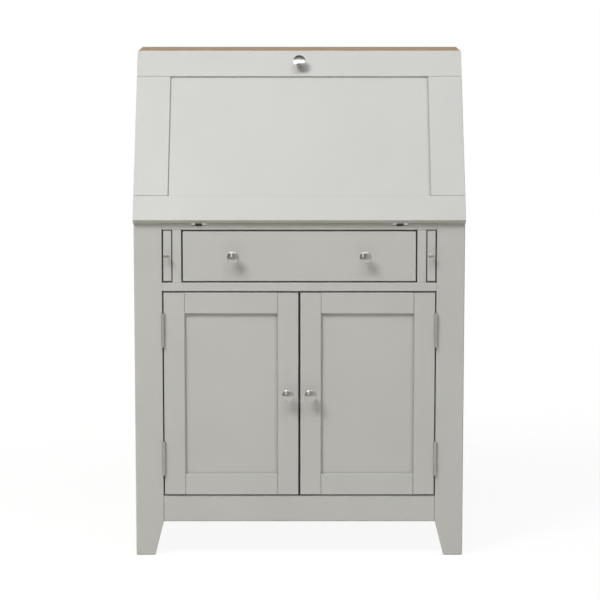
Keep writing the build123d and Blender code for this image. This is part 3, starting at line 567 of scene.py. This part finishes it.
# %% Give every piece its finish
steel_words = ("door_hinge", "screws", "pins", "strike")
finishes = {
    paints["upright"]: [
        "left_front_leg", "right_front_leg", "rear_legs", "left_cheek", "right_cheek", "side_panels",
    ],
    door_panel_paint: ["left_door_panel", "right_door_panel"],
    door_stile_paint: ["left_door_stiles", "right_door_stiles"],
    door_rail_paint: ["left_door_rails", "right_door_rails"],
    paints["across"]: [
        "mid_rail", "desk_bed", "cupboard_floor", "cupboard_shelf", "flap_top_rail", "flap_bottom_rail",
    ],
    flap_panel_paint: ["flap_panel"],
    paints["deep"]: ["side_rails"],
    flap_stile_paint: ["flap_stiles"],
    apron_paint: ["apron_rail"],
    painted_drawer_front: ["drawer_front"],
    painted_loper: ["left_loper", "right_loper"],
    painted_divider: ["drawer_dividers"],
    timbers["oak_across"]: [
        "oak_top", "gallery_shelf", "left_pen_drawer_front", "right_pen_drawer_front",
    ],
    timbers["oak_upright"]: ["gallery_dividers"],
    timbers["pale_across"]: ["drawer_back", "drawer_bottom"],
    timbers["pale_deep"]: [
        "drawer_sides", "drawer_runners", "loper_guides", "left_pen_drawer_box", "right_pen_drawer_box",
    ],
    timbers["ply_upright"]: ["lower_back_panel", "upper_back_panel"],
    nickel: [name for name in joinery if "knob" in name],
    pin_shaded_steel: ["flap_hinge_leaves"],
    bright_steel: ["flap_hinge_bed_leaves"],
    steel: [name for name in joinery if any(word in name for word in steel_words)],
    plastic: ["magnetic_catches"],
}
for finish, names in finishes.items():
    for name in names:
        joinery[name].data.materials.clear()
        joinery[name].data.materials.append(finish)
dressed = [name for names in finishes.values() for name in names]
print("dressed:", len(dressed), "bare:", sorted(set(joinery) - set(dressed)))

# %% [markdown]
# ## A brad
#
# The back panels lie in rabbets and are held by small brads. Each shows a slightly domed head that stands
# just proud. A ball would be too round, so the head is a short cylinder whose outer face is inset and raised
# twice.

# %% One brad head
brad_radius, brad_length = 0.0016, 0.0012
dome_steps = (0.00018, 0.00008)
dome_inset = 0.0005


def deselect():
    bpy.ops.object.select_all(action="DESELECT")


def brad_head(location):
    deselect()
    bpy.ops.mesh.primitive_cylinder_add(
        vertices=20, radius=brad_radius, depth=brad_length, location=location, rotation=(radians(-90), 0, 0)
    )
    head = bpy.context.object
    bpy.ops.object.transform_apply(location=True, rotation=True, scale=True)
    bpy.ops.object.mode_set(mode="EDIT")
    bpy.ops.mesh.select_mode(type="FACE")
    bpy.ops.mesh.select_all(action="DESELECT")
    bpy.ops.object.mode_set(mode="OBJECT")
    outer = max(head.data.polygons, key=lambda face: face.center.y)
    outer.select = True
    bpy.ops.object.mode_set(mode="EDIT")
    for step in dome_steps:
        bpy.ops.mesh.inset(thickness=dome_inset)
        bpy.ops.transform.translate(value=(0, step, 0))
    bpy.ops.object.mode_set(mode="OBJECT")
    bpy.ops.object.shade_smooth_by_angle(angle=radians(40))
    return head


print("a brad is", round(brad_radius * 2000, 1), "mm across")

# %% [markdown]
# ## Brads along the back
#
# The brads follow the edges of both panels at even distances, as someone would space them by eye. One is
# modelled and the rest are copies with meshes of their own, joined into one piece that rides on the case.


# %% Copies along the edges of the panels
def along(start, end, count):
    return [start + (end - start) * (n + 0.5) / count for n in range(count)]


lower_low, lower_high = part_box("lower_back_panel")
upper_low, upper_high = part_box("upper_back_panel")
side_inset, meeting_inset, floor_rise = 0.005, 0.007, 0.05
spots = []
for z in along(lower_low.z, lower_high.z, 6):
    spots += [(lower_low.x + side_inset, z), (lower_high.x - side_inset, z)]
for z in along(upper_low.z, upper_high.z, 3):
    spots += [(upper_low.x + side_inset, z), (upper_high.x - side_inset, z)]
for x in along(lower_low.x, lower_high.x, 6):
    spots += [(x, lower_high.z - meeting_inset), (x, lower_low.z + floor_rise)]
for x in along(upper_low.x, upper_high.x, 6):
    spots += [(x, upper_low.z + meeting_inset)]
first_x, first_z = spots[0]
sunk = 0.0001
first_brad = brad_head((first_x, lower_high.y - sunk, first_z))
brads = [first_brad]
for x, z in spots[1:]:
    copy = first_brad.copy()
    copy.data = first_brad.data.copy()
    copy.data.transform(copy.matrix_world.Translation(Vector((x - first_x, 0, z - first_z))))
    bpy.context.scene.collection.objects.link(copy)
    brads.append(copy)
deselect()
for brad in brads:
    brad.select_set(True)
bpy.context.view_layer.objects.active = first_brad
bpy.ops.object.join()
first_brad.name = "back_panel_brads"
first_brad.data.materials.clear()
first_brad.data.materials.append(steel)
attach(first_brad, "case")
print("brads:", len(spots))

# %% [markdown]
# ## Floor and background
#
# The desk stands in a white studio. The floor is a large pale sheet, warm and matt. For the camera it shines
# a little by itself, more so far behind the desk, so that it reads as white right to the top of the
# picture. Part of it still is an ordinary matt surface, which keeps the soft shadow at the feet.
# Reflections see the same white.


# %% A pale floor and a white world
def shows_background(wire):
    kinds = ("Camera", "Glossy", "Transmission")
    camera, glossy, clear = [wire.add("ShaderNodeLightPath", output=f"Is {kind} Ray") for kind in kinds]
    return wire.math("MINIMUM", camera + glossy + clear, 1.0)


floor_middle = 30
floor_matt = (0.68, 0.67, 0.63, 1)
near_white, far_white = (1.08, 1.08, 1.08, 1), (1.16, 1.16, 1.16, 1)


def studio_floor():
    deselect()
    bpy.ops.mesh.primitive_plane_add(size=160.0, location=(0, floor_middle, 0))
    floor = bpy.context.object
    floor.name = "studio_floor"
    material, wire = new_finish("studio_white")
    matt = wire.add("ShaderNodeBsdfDiffuse", {}, {"Color": floor_matt})
    depth = axes(wire, place(wire))[1]
    behind = span(wire, depth, 0.5 - floor_middle, 3.5 - floor_middle)
    white = blend_colour(wire, behind, near_white, far_white)
    glow = wire.add("ShaderNodeEmission", {}, {"Color": white, "Strength": 1.0})
    mixed = {0: 0.85 * shows_background(wire), 1: matt, 2: glow}
    surface = wire.add("ShaderNodeMixShader", {}, mixed)
    wire.add("ShaderNodeOutputMaterial", {}, {"Surface": surface})
    floor.data.materials.append(material)
    return floor


def white_world():
    world = bpy.data.worlds.new("white_studio")
    bpy.context.scene.world = world
    world.use_nodes = True
    world.node_tree.nodes.clear()
    wire = Wire(world.node_tree)
    ambient = 0.21
    strength = ambient + (1 - ambient) * shows_background(wire)
    warm_white = (1, 0.99, 0.935, 1)
    shell = wire.add("ShaderNodeBackground", {}, {"Color": warm_white, "Strength": strength})
    wire.add("ShaderNodeOutputWorld", {}, {"Surface": shell})


floor = studio_floor()
white_world()
print("the floor measures", round(floor.dimensions.x, 1), "m each way")

# %% [markdown]
# ## Cards for the knobs to reflect
#
# Polished metal shows what stands around it, and in an all-white room it looks like white plastic. A
# photographer sets up grey cards for it, and so does this lesson: one in front with two bright windows, one
# overhead and one on the floor. Only reflections see them. A whole room could be modelled instead, but the
# knobs are too small to show more than this.

# %% A card that only reflections see
card_reach = 6.5


def grey_card(name, location, rotation, shade):
    material, wire = new_finish(f"{name}_grey")
    across_card, up_card = axes(wire, place(wire))[:2]
    colour = shade(wire, across_card, up_card)
    grey = wire.add("ShaderNodeEmission", {}, {"Color": colour, "Strength": 1.0})
    wire.add("ShaderNodeOutputMaterial", {}, {"Surface": grey})
    deselect()
    bpy.ops.mesh.primitive_plane_add(size=2 * card_reach, location=location, rotation=rotation)
    card = bpy.context.object
    card.name = name
    card.data.materials.append(material)
    card.visible_camera = False
    card.visible_diffuse = False
    card.visible_transmission = False
    card.visible_shadow = False


pale, middling = screen_colour(214, 216, 214), screen_colour(160, 160, 154)
deep, window_white = screen_colour(96, 95, 90), (1.7, 1.68, 1.62, 1)
print("cards reach", card_reach, "m from their middle")

# %% [markdown]
# ## Shades of the cards
#
# The front card is dark above and lighter below, like a wall above a pale floor, and it gets lighter to the
# right. A tall window on the left gives each knob an upright highlight, and a wide one higher up gives it a
# bright rim. The windows are masks made of smooth steps, so their edges stay soft in the metal.


# %% Overhead, in front and on the floor
def lighter_to_the_right(wire, across_card, colour):
    return blend_colour(wire, span(wire, across_card, -0.5, 1.7, 0.0, 0.9), colour, pale)


def ceiling_shade(wire, across_card, up_card):
    colour = blend_colour(wire, span(wire, up_card, -1.8, -0.8), pale, deep)
    return blend_colour(wire, span(wire, across_card, -0.8, 2.6, 0.0, 0.6), colour, middling)


def front_shade(wire, across_card, up_card):
    height = up_card + card_reach
    colour = blend_colour(wire, span(wire, height, 0.5, 2.0), middling, deep)
    colour = lighter_to_the_right(wire, across_card, colour)
    left_jamb = span(wire, across_card, -1.9, -1.7)
    right_jamb = span(wire, across_card, -1.0, -0.8, 1.0, 0.0)
    tall = left_jamb * right_jamb * span(wire, height, 0.2, 0.4)
    wide = span(wire, height, 2.5, 2.7)
    windows = wire.math("MAXIMUM", tall, wide) * span(wire, height, 3.6, 3.8, 1.0, 0.0)
    return blend_colour(wire, windows, colour, window_white)


def floor_shade(wire, across_card, up_card):
    return lighter_to_the_right(wire, across_card, middling)


grey_card("ceiling_card", (0, 0.4, card_reach), (0, 0, 0), ceiling_shade)
grey_card("front_card", (0, -6.1, card_reach), (radians(90), 0, 0), front_shade)
grey_card("floor_card", (0, -8.8, 0.003), (0, 0, 0), floor_shade)
print("three cards stand around the desk")

# %% [markdown]
# ## Light
#
# One large soft lamp stands high in front on the left: it gives the pale flap, the darker fronts and the
# soft shadows that fall to the lower right in every recess. A second, wider and cooler one hangs overhead
# in front. Both are area lamps, because a wide source makes wide half-shadows.


# %% Two area lamps
def lamp(name, location, target, size, power, colour):
    light = bpy.data.lights.new(name, "AREA")
    light.shape = "RECTANGLE"
    light.size, light.size_y = size
    light.energy = power
    light.color = colour
    holder = bpy.data.objects.new(name, light)
    bpy.context.scene.collection.objects.link(holder)
    holder.location = location
    holder.rotation_euler = (Vector(target) - Vector(location)).to_track_quat("-Z", "Y").to_euler()


desk_middle = (0, 0, 0.6)
lamp("window_lamp", (-2.9, -3.5, 5.2), desk_middle, (2.1, 2.1), 233.0, (1.0, 0.995, 1.0))
lamp("ceiling_lamp", (0.3, -2.8, 5.0), desk_middle, (4.6, 1.5), 95.5, (0.95, 0.985, 1.14))
print("lamps:", len(bpy.data.lights))

# %% [markdown]
# ## Camera
#
# The desk is seen straight from the front, from a little above the flap and from far away with a long lens,
# so that upright lines stay nearly parallel and the flap still shows its slope.

# %% The long lens in front
lens_length = 156.03
camera_distance, camera_height, camera_dip = 5.6, 1.429, 8.7145
camera_data = bpy.data.cameras.new("front_camera")
camera_data.sensor_width = 36.0
camera_data.lens = lens_length
camera = bpy.data.objects.new("front_camera", camera_data)
bpy.context.scene.collection.objects.link(camera)
camera.location = (0.0015, front_plane - camera_distance, camera_height)
camera.rotation_euler = (radians(90 - camera_dip), 0, 0)
bpy.context.scene.camera = camera
bpy.context.scene.view_settings.view_transform = "Standard"
print("camera at", tuple(round(v, 4) for v in camera.location))
